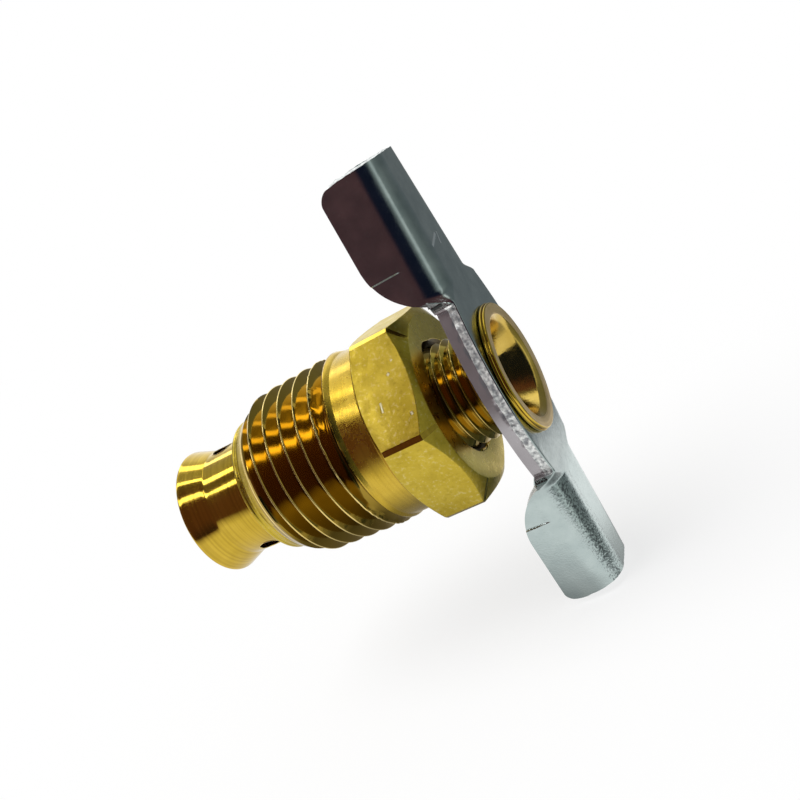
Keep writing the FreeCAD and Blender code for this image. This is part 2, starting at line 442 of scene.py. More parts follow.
def add_ramp(tree, source, stops):
    ramp = tree.nodes.new("ShaderNodeValToRGB")
    elements = ramp.color_ramp.elements
    while len(elements) < len(stops):
        elements.new(0.5)
    for element, (place, colour) in zip(elements, stops):
        element.position = place
        element.color = (*colour, 1)
    tree.links.new(source, ramp.inputs["Fac"])
    return ramp.outputs["Color"]


def add_range(tree, source, low, high, out_low, out_high):
    span = tree.nodes.new("ShaderNodeMapRange")
    fill(span, {"From Min": low, "From Max": high, "To Min": out_low, "To Max": out_high})
    tree.links.new(source, span.inputs["Value"])
    return span.outputs["Result"]


def add_math(tree, operation, *values):
    step = tree.nodes.new("ShaderNodeMath")
    step.operation = operation
    for socket, value in zip(step.inputs, values):
        if isinstance(value, (int, float)):
            socket.default_value = value
        else:
            tree.links.new(value, socket)
    return step.outputs["Value"]


def add_vector(tree, operation, *values, output="Vector"):
    step = tree.nodes.new("ShaderNodeVectorMath")
    step.operation = operation
    for socket, value in zip(step.inputs, values):
        if isinstance(value, tuple):
            socket.default_value = value
        else:
            tree.links.new(value, socket)
    return step.outputs[output]


def add_dot(tree, place, direction):
    return add_vector(tree, "DOT_PRODUCT", place, tuple(direction), output="Value")


def split(tree, place):
    parts = tree.nodes.new("ShaderNodeSeparateXYZ")
    tree.links.new(place, parts.inputs["Vector"])
    return parts


def add_mix(tree, kind, factor, first, second):
    mix = tree.nodes.new("ShaderNodeMix")
    mix.data_type = "RGBA"
    mix.blend_type = kind
    for name, value in (("Factor", factor), ("A", first), ("B", second)):
        socket = mix.inputs[name]
        if isinstance(value, tuple):
            socket.default_value = (*value, 1)
        elif isinstance(value, float):
            socket.default_value = value
        else:
            tree.links.new(value, socket)
    return mix.outputs["Result"]


def add_bump(tree, height, depth, under=None):
    bump = tree.nodes.new("ShaderNodeBump")
    fill(bump, {"Strength": 1.0, "Distance": depth * MM})
    tree.links.new(height, bump.inputs["Height"])
    if under is not None:
        tree.links.new(under, bump.inputs["Normal"])
    return bump.outputs["Normal"]


def add_scratch(tree, place, start, stop, width):
    """1 along the line from start to stop and 0 elsewhere."""
    begin = Vector(start) * MM
    line = Vector(stop) * MM - begin
    axis = tuple(line.normalized())
    away = add_vector(tree, "SUBTRACT", place, tuple(begin))
    across = add_vector(tree, "CROSS_PRODUCT", away, axis)
    distance = add_vector(tree, "LENGTH", across, output="Value")
    along = add_dot(tree, away, axis)
    near = add_range(tree, distance, SCRATCH_CORE * width * MM, width * MM, 1.0, 0.0)
    after_start = add_math(tree, "GREATER_THAN", along, 0.0)
    before_stop = add_math(tree, "LESS_THAN", along, line.length)
    inside = add_math(tree, "MULTIPLY", after_start, before_stop)
    return add_math(tree, "MULTIPLY", near, inside)


def add_scratches(tree, place, scratches, colour, normal, bare, depth):
    for start, stop, width in scratches:
        line = add_scratch(tree, place, start, stop, width)
        colour = add_mix(tree, "MIX", line, colour, bare)
        normal = add_bump(tree, line, depth, normal)
    return colour, normal


def finish_material(tree, shader, colour, gloss, normal):
    tree.links.new(colour, shader.inputs["Base Color"])
    tree.links.new(gloss, shader.inputs["Roughness"])
    tree.links.new(normal, shader.inputs["Normal"])


def object_place(tree):
    return tree.nodes.new("ShaderNodeTexCoord").outputs["Object"]


def turned_place(tree, place):
    """A place that is the same all the way round the axis, but for a slight drift."""
    parts = split(tree, place)
    across = add_vector(tree, "MULTIPLY", place, (0, 1, 1))
    radius = add_vector(tree, "LENGTH", across, output="Value")
    ring = tree.nodes.new("ShaderNodeCombineXYZ")
    tree.links.new(parts.outputs["X"], ring.inputs["X"])
    tree.links.new(radius, ring.inputs["Y"])
    drift = add_vector(tree, "MULTIPLY", place, (0, RING_DRIFT, RING_DRIFT))
    return add_vector(tree, "ADD", ring.outputs["Vector"], drift)


# Brass and zinc

WHITE = (1.0, 1.0, 1.0)
SMEAR_RANGE = (0.3, 0.7)
TARNISH_SCALE = 420
TARNISH_STOPS = (0.32, 0.68)
BRASS_SPECK_SCALE = 3800
BRASS_SMEAR_SCALE = 1300
BRASS_GRAIN_SCALE = 5200
RING_SCALE = 4600
RING_SHADE = (0.55, 0.52, 0.45)
RING_STOPS = (0.35, 0.6)
BRASS_BRIGHT = (0.95, 0.85, 0.45)
BRIGHT_RANGE = (0.56, 0.74)
BRASS_DULL = (0.30, 0.20, 0.02)
DULL_RANGE = (0.45, 0.28)
BRASS_SCRATCH = (0.95, 0.88, 0.55)
BRASS_SCRATCH_DEPTH = -0.03
UNDERSIDE_SHADE_LEVEL = 3


def brass(name, dark, light, roughness, ring_depth, grain_depth, scratches=(), metal=1.0,
          speckle=0.0, ring_shade_share=0.0, underside_shade=1.0):
    """Turned brass: tarnish, turning rings round the axis, a grain, and painted shade on the underside."""
    material, tree, shader = new_material(name)
    place = object_place(tree)
    shader.inputs["Metallic"].default_value = metal
    tarnish = add_noise(tree, place, TARNISH_SCALE, 6)
    colour = add_ramp(tree, tarnish, list(zip(TARNISH_STOPS, (dark, light))))
    if speckle:
        specks = add_noise(tree, place, BRASS_SPECK_SCALE, 5)
        bright = add_range(tree, specks, *BRIGHT_RANGE, 0.0, speckle)
        colour = add_mix(tree, "MIX", bright, colour, BRASS_BRIGHT)
        dull = add_range(tree, specks, *DULL_RANGE, 0.0, speckle)
        colour = add_mix(tree, "MIX", dull, colour, BRASS_DULL)
    smear = add_noise(tree, place, BRASS_SMEAR_SCALE, 4)
    gloss = add_range(tree, smear, *SMEAR_RANGE, *roughness)
    rings = add_noise(tree, turned_place(tree, place), RING_SCALE, 3)
    # Painted shade: the turning rings darken the colour along their lines, standing in for the small
    # shadows in the turning marks.
    if ring_shade_share:
        lines = add_ramp(tree, rings, list(zip(RING_STOPS, (RING_SHADE, WHITE))))
        colour = add_mix(tree, "MULTIPLY", ring_shade_share, colour, lines)
    normal = add_bump(tree, rings, ring_depth)
    grain = add_noise(tree, place, BRASS_GRAIN_SCALE, 3)
    normal = add_bump(tree, grain, grain_depth, normal)
    # Painted shade: the colour darkens from the axis downwards and is darkest on the underside.
    if underside_shade < 1.0:
        level = split(tree, place)
        share = add_range(tree, level.outputs["Z"], -UNDERSIDE_SHADE_LEVEL * MM, UNDERSIDE_SHADE_LEVEL * MM, 0.0, 1.0)
        underside_ramp = add_ramp(tree, share, [(0.0, (underside_shade, underside_shade, underside_shade)), (1.0, WHITE)])
        colour = add_mix(tree, "MULTIPLY", 1.0, colour, underside_ramp)
    colour, normal = add_scratches(tree, place, scratches, colour, normal,
                                   BRASS_SCRATCH, BRASS_SCRATCH_DEPTH)
    finish_material(tree, shader, colour, gloss, normal)
    return material


BRASS_DARK = (0.54, 0.365, 0.036)
BRASS_LIGHT = (0.66, 0.455, 0.062)
LEMON_DARK = (0.52, 0.38, 0.036)
LEMON_LIGHT = (0.64, 0.48, 0.060)
THREAD_DARK = (0.44, 0.29, 0.04)
THREAD_LIGHT = (0.53, 0.355, 0.055)
HEX_SCRATCHES = (
    ((1.86, -6.09, 3.50), (1.84, -6.51, 2.90), 0.10),
    ((3.02, -5.14, 4.86), (3.12, -5.24, 4.74), 0.14),
    ((3.58, -4.70, 5.50), (3.63, -4.76, 5.42), 0.12),
    ((3.80, -6.95, 2.27), (3.85, -7.08, 2.08), 0.13),
)
turned = brass("brass_turned", BRASS_DARK, BRASS_LIGHT, (0.07, 0.13), 0.003, 0.0006, ring_shade_share=0.4)
shank = brass("brass_shank", BRASS_DARK, BRASS_LIGHT, (0.20, 0.32), 0.003, 0.001, ring_shade_share=0.25)
satin = brass("brass_satin", LEMON_DARK, LEMON_LIGHT, (0.30, 0.46), 0.0, 0.014, HEX_SCRATCHES, speckle=0.32)
faced = brass("brass_faced", LEMON_DARK, LEMON_LIGHT, (0.24, 0.36), 0.004, 0.004, speckle=0.2)
land = brass("brass_land", (0.68, 0.49, 0.22), (0.86, 0.65, 0.33), (0.36, 0.52), 0.004, 0.012,
             metal=0.85, ring_shade_share=0.3)
flare = brass("brass_flare", (0.50, 0.34, 0.06), (0.70, 0.50, 0.12), (0.1, 0.2), 0.002, 0.006)
# Painted shade darkens the underside of both threads, the pipe thread the most.
thread_cut = brass("brass_thread", THREAD_DARK, THREAD_LIGHT, (0.07, 0.12), 0.0006, 0.0, underside_shade=0.55)
stem_cut = brass("brass_stem_thread", THREAD_DARK, THREAD_LIGHT, (0.07, 0.12), 0.0006, 0.0, underside_shade=0.9)
crest_cut = brass("brass_crest", (0.76, 0.57, 0.18), (0.90, 0.70, 0.28), (0.12, 0.22), 0.0006, 0.003)
torn = brass("brass_torn", (0.42, 0.28, 0.10), (0.72, 0.52, 0.25), (0.35, 0.5), 0.0, 0.03, metal=0.9)
# Painted shade: nearly black brass on the countersink's cone, for the shade inside that recess.
recess_painted_shade = brass("brass_recess_painted_shade", (0.06, 0.04, 0.008), (0.12, 0.08, 0.014), (0.3, 0.45), 0.0, 0.004)


ZINC_SMEAR_SCALE = 1600
LOWER_WING = (-8.5, -7.0)
PEEL_SCALE = 8200
# Painted sheen on the lower wing, standing in for its reflection of the white table.
LOWER_SHEEN = (0.60, 0.70, 0.68)
LOWER_SHEEN_DEPTH = 0.5
LOWER_SHEEN_SHARES = (0.4, 0.75)
SPECK_SCALE = 6500
SPECK_COLOUR = (0.06, 0.07, 0.075)
SPECK_DEPTH = 0.4
SPECK_HALF_WIDTH = 0.55
SPECK_SIDE = -1.0
SPECK_LIFT = 0.2
SPECK_RANGE = (0.58, 0.76)
SPECK_STRENGTH = 0.8
SPECK_ZONE_LEAST = 0.01
ZINC_SCRATCH = (0.8, 0.84, 0.84)
ZINC_SCRATCH_DEPTH = -0.02


def add_lower_sheen(tree, level, share, colour):
    """A painted pale, teal sheen on the lower wing, strongest on its front: a painted reflection of the
    white table below.
    """
    start = (PLATE_FRONT - LOWER_SHEEN_DEPTH) * MM
    forward = add_range(tree, level.outputs["X"], start, PLATE_FRONT * MM, *LOWER_SHEEN_SHARES)
    sheen = add_math(tree, "MULTIPLY", forward, share)
    return add_mix(tree, "MIX", sheen, colour, LOWER_SHEEN)


def add_specks(tree, place, level, share, colour):
    """Dark specks along one bend of the lower wing."""
    from_bend = add_math(tree, "SUBTRACT", level.outputs["X"], (PLATE_FRONT - SPECK_DEPTH) * MM)
    from_bend = add_math(tree, "ABSOLUTE", from_bend)
    zone = add_range(tree, from_bend, 0.0, SPECK_HALF_WIDTH * MM, 1.0, 0.0)
    near_side = add_math(tree, "LESS_THAN", level.outputs["Y"], SPECK_SIDE * MM)
    zone = add_math(tree, "MULTIPLY", zone, near_side)
    zone = add_math(tree, "MULTIPLY", zone, share)
    specks = add_noise(tree, place, SPECK_SCALE, 3)
    specks = add_math(tree, "MULTIPLY_ADD", zone, SPECK_LIFT, specks)
    dark_specks = add_range(tree, specks, *SPECK_RANGE, 0.0, SPECK_STRENGTH)
    in_zone = add_math(tree, "GREATER_THAN", zone, SPECK_ZONE_LEAST)
    dark_specks = add_math(tree, "MULTIPLY", dark_specks, in_zone)
    return add_mix(tree, "MIX", dark_specks, colour, SPECK_COLOUR)


def zinc(name, dark, light, roughness, grain_depth, grain_scale, scratches=(), metal=1.0, lower_grain_and_sheen=0.0,
         drift_scale=260, drift_stops=(0.3, 0.7)):
    """Zinc plate: a bluish drift and an orange-peel grain; a depth for the lower wing's grain also roughens
    and speckles that wing and paints a pale sheen on it.
    """
    material, tree, shader = new_material(name)
    place = object_place(tree)
    shader.inputs["Metallic"].default_value = metal
    drift = add_noise(tree, place, drift_scale, 6)
    colour = add_ramp(tree, drift, list(zip(drift_stops, (dark, light))))
    smear = add_noise(tree, place, ZINC_SMEAR_SCALE, 4)
    gloss = add_range(tree, smear, *SMEAR_RANGE, *roughness)
    grain = add_noise(tree, place, grain_scale, 4)
    normal = add_bump(tree, grain, grain_depth)
    if lower_grain_and_sheen:
        level = split(tree, place)
        share = add_range(tree, level.outputs["Z"], LOWER_WING[0] * MM, LOWER_WING[1] * MM, 1.0, 0.0)
        peel = add_math(tree, "MULTIPLY", add_noise(tree, place, PEEL_SCALE, 2), share)
        normal = add_bump(tree, peel, lower_grain_and_sheen, normal)
        # Painted reflection: the lower wing's front is paled and tinted teal.
        colour = add_lower_sheen(tree, level, share, colour)
        colour = add_specks(tree, place, level, share, colour)
    colour, normal = add_scratches(tree, place, scratches, colour, normal,
                                   ZINC_SCRATCH, ZINC_SCRATCH_DEPTH)
    finish_material(tree, shader, colour, gloss, normal)
    return material


WING_SCRATCHES = (
    ((PLATE_FRONT, 0.09, 10.87), (PLATE_FRONT, -1.84, 10.40), 0.16),
    ((PLATE_FRONT, 0.54, 10.90), (PLATE_FRONT, 0.11, 10.07), 0.16),
)
plated = zinc("zinc_plate", (0.31, 0.37, 0.365), (0.44, 0.50, 0.485), (0.12, 0.2), 0.004, 3600,
              WING_SCRATCHES, lower_grain_and_sheen=0.013, drift_scale=700)
fractured = zinc("zinc_fracture", (0.26, 0.27, 0.28), (0.88, 0.90, 0.87), (0.3, 0.5), 0.05, 3000, metal=0.5,
                 drift_scale=3400, drift_stops=(0.38, 0.66))
sheared = zinc("zinc_sheared", (0.50, 0.52, 0.52), (0.90, 0.93, 0.93), (0.3, 0.5), 0.05, 3000, metal=0.35,
               drift_scale=1800, drift_stops=(0.38, 0.6))
burnished = zinc("zinc_burnish", (0.31, 0.29, 0.30), (0.42, 0.40, 0.41), (0.16, 0.24), 0.002, 5000,
                 metal=0.72)


# Columns round the axis, with close pairs where the hexagon's corners turn

CORNER_COLUMNS = 34
CORNER_FLAT_COLUMNS = range(1, 5)
CORNER_OFFSETS = (-1.15, -1.0, -0.8, 0.0, 0.8, 1.0, 1.15)
CREST_ROUND = 0.1
CREST_CURVE = 0.55


def column_angles():
    arc = math.degrees(math.atan2(HEX_CORNER_FLAT, HEX_CORNER_RADIUS))
    near = [share * arc for share in CORNER_OFFSETS]
    inner = near[-1]
    steps = CORNER_COLUMNS - len(near) + 1
    offsets = near + [inner + (60 - 2 * inner) * step / steps for step in range(1, steps)]
    return [math.radians(HEX_TURN + 60 * corner + offset) for corner in range(6) for offset in offsets]


ANGLES = column_angles()
THREAD_PHASES = [0.0, 0.02, 0.04, 0.06, 0.1, 0.18, 0.28, 0.38, 0.44, 0.47, 0.5,
                 0.53, 0.56, 0.62, 0.72, 0.82, 0.9, 0.94, 0.96, 0.98]


def thread_shape(phase):
    """How far a 60 degree thread with rounded crest and root has been cut, 0 at crest and 1 at root."""
    away = 2 * min(phase, 1 - phase)
    if away < CREST_ROUND:
        return CREST_CURVE * away * away / CREST_ROUND
    if away > 1 - CREST_ROUND:
        return 1 - CREST_CURVE * (1 - away) ** 2 / CREST_ROUND
    rounded = CREST_CURVE * CREST_ROUND
    return rounded + (away - CREST_ROUND) * (1 - 2 * rounded) / (1 - 2 * CREST_ROUND)


def hexagon(angle):
    """The radius of a hexagon with a narrow flat along each corner."""
    from_corner = (math.degrees(angle) - HEX_TURN + 30) % 60 - 30
    tilt = math.radians(abs(from_corner))
    corner_plane = HEX_CORNER_RADIUS - HEX_CORNER_FLAT * math.tan(math.radians(30))
    return min(HEX_APOTHEM / math.cos(math.radians(30) - tilt), corner_plane / math.cos(tilt))


# Valve body

BODY_TURNED, BODY_SATIN, BODY_THREAD, BODY_FACED, BODY_CREST, BODY_SHANK, BODY_TORN, BODY_RECESS_SHADE = range(8)
BODY_MATERIALS = [turned, satin, thread_cut, faced, crest_cut, shank, torn, recess_painted_shade]


def pipe_thread(place, phase, angle):
    crest = PIPE_CREST + PIPE_SLOPE * (place - THREAD_START)
    cut = min(1.0, (THREAD_END - place) / RUNOUT)
    radius = crest - PIPE_DEPTH * cut * thread_shape(phase)
    faded = SHANK_RADIUS + (crest - SHANK_RADIUS) * min(1.0, (THREAD_END - place) / CREST_FADE)
    lead_in = NOSE_RADIUS + LEAD_IN_SLOPE * (place - THREAD_START)
    risen = smooth(place, THREAD_END - BURR_RISE[0], THREAD_END - BURR_RISE[1])
    fallen = smooth(place, THREAD_END - BURR_FALL[0], THREAD_END - BURR_FALL[1])
    height = BURR_HEIGHT * risen * (1 - fallen)
    burr = height * (1 - thread_shape(phase)) ** 2 * rough(angle * 34, place * 4, 7)
    return min(radius + burr, faded + burr, lead_in)


def nick(angle):
    """1 in the middle of the countersink's nick, where the inside thread starts, and 0 away from it."""
    away = (math.degrees(angle) - COUNTERSINK_NICK_ANGLE + 180) % 360 - 180
    return bell(away / COUNTERSINK_NICK_SPREAD)


def pipe_mark(place, near_crest):
    if place > THREAD_END - SHANK_SIDE:
        return BODY_SHANK
    if place < THREAD_START + LEAD_IN_LENGTH:
        return BODY_FACED
    if place > THREAD_END - TORN_LENGTH and near_crest:
        return BODY_TORN
    return BODY_CREST if near_crest else BODY_THREAD


def make_valve_body():
    shell = Shell()
    rim = SEAT_RADIUS + NOSE_LAND
    nose = soften([
        (NOSE_BORE_END + NOSE_STEP, BODY_BORE),
        (NOSE_BORE_END, NOSE_BORE),
        (NOSE_END + SEAT_DEPTH, NOSE_BORE),
        (NOSE_END, SEAT_RADIUS),
        (NOSE_END, rim),
        (NOSE_END + NOSE_ROUND_LENGTH / 3, NOSE_RADIUS - NOSE_ROUND_DEPTH),
        (NOSE_END + NOSE_ROUND_LENGTH, NOSE_RADIUS),
        (NOSE_LINE - NOSE_LINE_HALF_WIDTH, NOSE_RADIUS),
        (NOSE_LINE, NOSE_RADIUS - NOSE_LINE_DEPTH),
        (NOSE_LINE + NOSE_LINE_HALF_WIDTH, NOSE_RADIUS),
        (THREAD_START, NOSE_RADIUS),
    ], NOSE_SOFTNESS)
    shell.rings(revolve(nose, ANGLES), lambda band, column: BODY_FACED)
    shell.helix(ANGLES, PIPE_PITCH, THREAD_START, THREAD_END, PIPE_SHIFT, THREAD_PHASES,
                pipe_thread, pipe_mark)

    columns = []
    for angle in ANGLES:
        corner = hexagon(angle)
        sunk = COUNTERSINK_RADIUS + COUNTERSINK_NICK * nick(angle)
        sink = sunk - BODY_BORE + COUNTERSINK_NICK_DEPTH * nick(angle)
        columns.append(soften([
            (THREAD_END, SHANK_RADIUS),
            (0.0, SHANK_RADIUS),
            ((corner - SHANK_RADIUS) * CHAMFER_SLOPE, corner),
            (HEX_FRONT - (corner - HEX_FACE_RADIUS) * CHAMFER_SLOPE, corner),
            (HEX_FRONT, HEX_FACE_RADIUS),
            (HEX_FRONT, sunk),
            (HEX_FRONT - sink, BODY_BORE),
            (NOSE_BORE_END + NOSE_STEP, BODY_BORE),
        ], HEX_SOFTNESS))
    rows = []
    for row in range(len(columns[0])):
        rows.append([polar(*column[row], angle) for column, angle in zip(columns, ANGLES)])
    shank_bands = range(4)
    hex_bands = range(7, 14)
    face_bands = range(14, 19)

    def body_mark(band, column):
        if band in shank_bands:
            return BODY_SHANK
        if band in hex_bands:
            return BODY_TURNED if column % CORNER_COLUMNS in CORNER_FLAT_COLUMNS else BODY_SATIN
        if band in face_bands:
            return BODY_FACED
        # The countersink's cone takes the nearly black brass, painted shade.
        return BODY_RECESS_SHADE if band > face_bands[-1] else BODY_TURNED

    shell.rings(rows, body_mark)
    add_bore_burr(shell)
    return shell.piece("body_visual", BODY_MATERIALS)


def add_bore_burr(shell):
    """The torn rim low in the countersink, where the inside thread runs out."""
    for first, last, height in BORE_BURRS:
        path = []
        for step in range(BORE_BURR_STEPS + 1):
            t = step / BORE_BURR_STEPS
            angle = math.radians(first + (last - first) * t)
            outward = Vector(polar(0, 1, angle))
            swell = BORE_BURR_ENDS + math.sin(math.pi * t)
            size = height * swell * (BORE_BURR_MEAN + BORE_BURR_SPREAD * rough(first + 9 * t, 3, 1))
            along = HEX_FRONT - BORE_BURR_SINK + BORE_BURR_WAVE * rough(first + 7 * t, 5, 2)
            place = Vector(polar(along, COUNTERSINK_RADIUS - BORE_BURR_INSET, angle))
            path.append((place, outward, Vector((1, 0, 0)), max(size, BORE_BURR_THINNEST)))
        shell.cord(path, BODY_TURNED, False)


# Hollow stem

STEM_TURNED, STEM_CUT, STEM_LAND, STEM_BRIGHT, STEM_FLARE = range(5)
STEM_MATERIALS = [turned, stem_cut, land, crest_cut, flare]


def stem_thread(place, phase, angle):
    fade = min(1.0, (place - STEM_THREAD_START) / STEM_RUN_IN, (STEM_SHOULDER - place) / STEM_RUN_OUT)
    return STEM_CREST - STEM_DEPTH * fade * thread_shape(phase)


def mouth_frame(mouth):
    """The outward and the sideways direction at one mouth of the cross hole."""
    turn = math.radians(mouth)
    return Vector(polar(0, 1, turn)), Vector(polar(0, 1, turn - math.pi / 2))


def add_hole_burr(shell):
    """A torn lip round both mouths of the cross hole."""
    for mouth, middle in MOUTHS:
        axis, side = mouth_frame(mouth)
        path = []
        for step in range(HOLE_BURR_STEPS):
            turn = math.tau * step / HOLE_BURR_STEPS
            x = middle + CROSS_HOLE_RADIUS * math.cos(turn)
            across = CROSS_HOLE_RADIUS * math.sin(turn)
            level = math.sqrt(NECK_RADIUS ** 2 - across ** 2)
            rim = axis * level + side * across
            outward = rim.normalized()
            flat = Vector((math.cos(turn), 0, 0)) + side * math.sin(turn)
            thin, more = HOLE_BURR_SIZES
            size = thin + more * max(0.0, rough(3 * math.cos(turn), 3 * math.sin(turn), mouth))
            sunk = outward * max(0.0, size - HOLE_BURR_LIFT)
            path.append((Vector((x, 0, 0)) + rim - sunk, outward, flat, size))
        shell.cord(path, STEM_BRIGHT, True)


def make_stem():
    shell = Shell()
    angles = [math.tau * step / STEM_SIDES for step in range(STEM_SIDES)]
    tail = divide(soften([
        (TIP, 0.0),
        (TIP, HEAD_RADIUS - HEAD_EDGE),
        (TIP + HEAD_EDGE, HEAD_RADIUS - HEAD_EDGE_DROP),
        (HEAD_START, NECK_RADIUS),
        (HEAD_START + NECK_LENGTH, NECK_RADIUS),
        (HEAD_START + NECK_LENGTH + NECK_STEP, STEM_CREST),
        (STEM_THREAD_START, STEM_CREST),
    ], STEM_SOFTNESS), STEM_LONGEST)
    shell.rings(revolve(tail, angles), lambda band, column: STEM_TURNED)
    shell.helix(angles, STEM_PITCH, STEM_THREAD_START, STEM_SHOULDER, STEM_SHIFT, THREAD_PHASES,
                stem_thread, lambda place, near_crest: STEM_BRIGHT if near_crest else STEM_CUT)

    back = PLATE_FRONT + GAP
    beads = [(back, LIP_RADIUS - LIP_BACK_INSET)]
    for forward, inset, size, first, last in LIP_BEADS:
        middle = back + forward
        radius = LIP_RADIUS - inset
        for step in range(BEAD_STEPS + 1):
            turn = math.radians(first + (last - first) * step / BEAD_STEPS)
            beads.append((middle + size * math.sin(turn), radius + size * math.cos(turn)))
    tenon = [(STEM_SHOULDER, STEM_CREST), (STEM_SHOULDER, TENON_RADIUS), (back, TENON_RADIUS)]
    front = soften([
        (LIP_FRONT - LIP_FRONT_BREAK[0], LIP_RADIUS - LIP_FRONT_BREAK[1]),
        (LIP_FRONT, LIP_RADIUS - LIP_FACE_INSET),
        (LIP_FRONT - LIP_FACE_DISH, LIP_LAND),
        (LIP_FRONT - LIP_LAND_BEVEL, LIP_LAND - LIP_LAND_BEVEL),
        (LIP_FRONT - MOUTH_DEPTH, BORE_RADIUS + MOUTH_FLARE),
        (LIP_FRONT - MOUTH_DEPTH - MOUTH_RUN_OUT, BORE_RADIUS),
        (BORE_END, BORE_RADIUS),
        (BORE_END, 0.0),
    ], MOUTH_SOFTNESS, MOUTH_STEPS)
    head = tenon + beads + front
    land_start = len(tenon + beads)
    flare_start = land_start + LAND_BANDS
    land_bands = range(land_start - 1, flare_start)
    flare_bands = range(flare_start, flare_start + FLARE_BANDS)

    def head_mark(band, column):
        if band in land_bands:
            return STEM_LAND
        return STEM_FLARE if band in flare_bands else STEM_TURNED

    shell.rings(revolve(head, angles), head_mark)
    piece = shell.piece("stem_visual", STEM_MATERIALS)
    for mouth, middle in MOUTHS:
        axis, side = mouth_frame(mouth)
        drill(piece, Vector((middle, 0, 0)) + axis * NECK_RADIUS, axis, CROSS_HOLE_RADIUS, HOLE_DEPTH)
    burr = Shell()
    add_hole_burr(burr)
    join(piece, burr.piece("stem_burr", STEM_MATERIALS))
    return piece


# Wing handle, one folded sheet

WING_PLATED, WING_FRACTURED, WING_BURNISHED, WING_SHEARED = range(4)


def half_width(along):
    if along < WING_ROOT:
        rise = HUB_HALF_WIDTH - HUB_END_HALF_WIDTH
        sweep = (HUB_HALF_LENGTH ** 2 + rise ** 2) / (2 * rise)
        return HUB_HALF_WIDTH - sweep + math.sqrt(sweep ** 2 - along ** 2)
    return WING_ROOT_HALF_WIDTH - (along - WING_ROOT) * WING_LEAN


def ridges(along):
    """Two coined ridges across the sheet where the flange begins: a quick rise, then a slope."""
    height = 0.0
    for start, length, top in RIDGES:
        if start < along < start + length:
            rise = (along - start) / RIDGE_RISE
            fall = (start + length - along) / (length - RIDGE_RISE)
            height += top * min(rise, fall)
    return height


def flange_edge(along, upper):
    """Where the sheet's edge lies: at the plate's back over the hub, then round to the flange's back."""
    back = FLANGE_BACK - UPPER_FLANGE_MORE if upper else FLANGE_BACK + LOWER_FLANGE_LESS
    hub = PLATE_BACK - NECK_DROP * smooth(along, *NECK_SPAN)
    if along < DOME_START + DOME_LEAD:
        return hub
    inner = max(DOME_START + DOME_ROUND - along, 0.0)
    outer = max(along - WING_REACH + FLANGE_OUTER_ROUND, 0.0)
    dome = back + DOME_ROUND - math.sqrt(DOME_ROUND ** 2 - inner ** 2)
    tip = FLANGE_OUTER_ROUND - math.sqrt(max(FLANGE_OUTER_ROUND ** 2 - outer ** 2, 0.0))
    return min(hub, dome + tip)


FRONT_STEPS = 12
BEND_STEPS = 12
SIDE_STEPS = 14
FRACTURE_STEPS = 6
EDGE_STEPS = 5
INNER_STEPS = 6
ROUND_STEPS = 5
SIDE_FIRST = FRONT_STEPS + BEND_STEPS
EDGE_FIRST = SIDE_FIRST + SIDE_STEPS
INNER_FIRST = EDGE_FIRST + EDGE_STEPS


def torn_side(x, along, t):
    """How far the hub's sheared edge stands out: torn towards its front, smooth behind."""
    share = (1 - smooth(t, *TORN_SHARE)) * (1 - smooth(along, *TORN_SPAN))
    coarse = TORN_COARSE * rough(x * 3, along * 2.6, 4)
    fine = TORN_FINE * rough(x * 8, along * 7, 9)
    return share * (coarse + fine - TORN_INSET)


def pressed_side(x, along, edge, upper):
    """How far a flange is pressed in: the dome's shoulder, and a short crease on the lower wing."""
    dome_side = 1 - smooth(along, CREASE - CREASE_HALF, CREASE + CREASE_HALF)
    inner_part = smooth(SHOULDER_PLACE - x, 0.0, SHOULDER_SOFTNESS)
    pressed = SHOULDER_DEPTH * inner_part * dome_side * smooth(along, *SHOULDER_SPAN)
    if not upper:
        near_edge = 1 - smooth(x, edge + CREASE_SPAN[0], edge + CREASE_SPAN[1])
        pressed += CREASE_DEPTH * near_edge * bell((along - CREASE) / CREASE_WIDTH)
    return pressed


def half_section(along, upper):
    """Half of the sheet's section, from the middle of its front round the edge to that of its back."""
    wide = half_width(along)
    round_off = EDGE_BREAK + (BEND - EDGE_BREAK) * smooth(along, *FOLD_SPAN)
    edge = flange_edge(along, upper)
    points = [(PLATE_FRONT, (wide - round_off) * step / FRONT_STEPS) for step in range(FRONT_STEPS + 1)]
    deepest = min(1.0, (PLATE_FRONT - edge) / round_off)
    swing = math.acos(1 - deepest)
    for step in range(1, BEND_STEPS + 1):
        turn = swing * step / BEND_STEPS
        points.append((PLATE_FRONT - round_off * (1 - math.cos(turn)),
                       wide - round_off * (1 - math.sin(turn))))
    bend_end = points[-1]
    for step in range(1, SIDE_STEPS + 1):
        t = step / SIDE_STEPS
        x = bend_end[0] + (edge - bend_end[0]) * t
        y = bend_end[1]
        if along < NECK_SPAN[1]:
            y += torn_side(x, along, t)
        else:
            y -= pressed_side(x, along, edge, upper)
        points.append((x, y + ridges(along)))
    outside = points[-1][1]
    inside = wide - SHEET
    for step in range(1, EDGE_STEPS + 1):
        points.append((edge, outside + (inside - outside) * step / EDGE_STEPS))
    inner_round = min(BEND - SHEET, PLATE_BACK - edge)
    for step in range(1, INNER_STEPS + 1):
        points.append((edge + (PLATE_BACK - inner_round - edge) * step / INNER_STEPS, inside))
    for step in range(1, ROUND_STEPS + 1):
        turn = math.pi / 2 * step / ROUND_STEPS
        points.append((PLATE_BACK - inner_round * (1 - math.sin(turn)),
                       inside - inner_round * (1 - math.cos(turn))))
    start = points[-1][1]
    for step in range(1, FRONT_STEPS + 1):
        points.append((PLATE_BACK, start * (1 - step / FRONT_STEPS)))
    return points


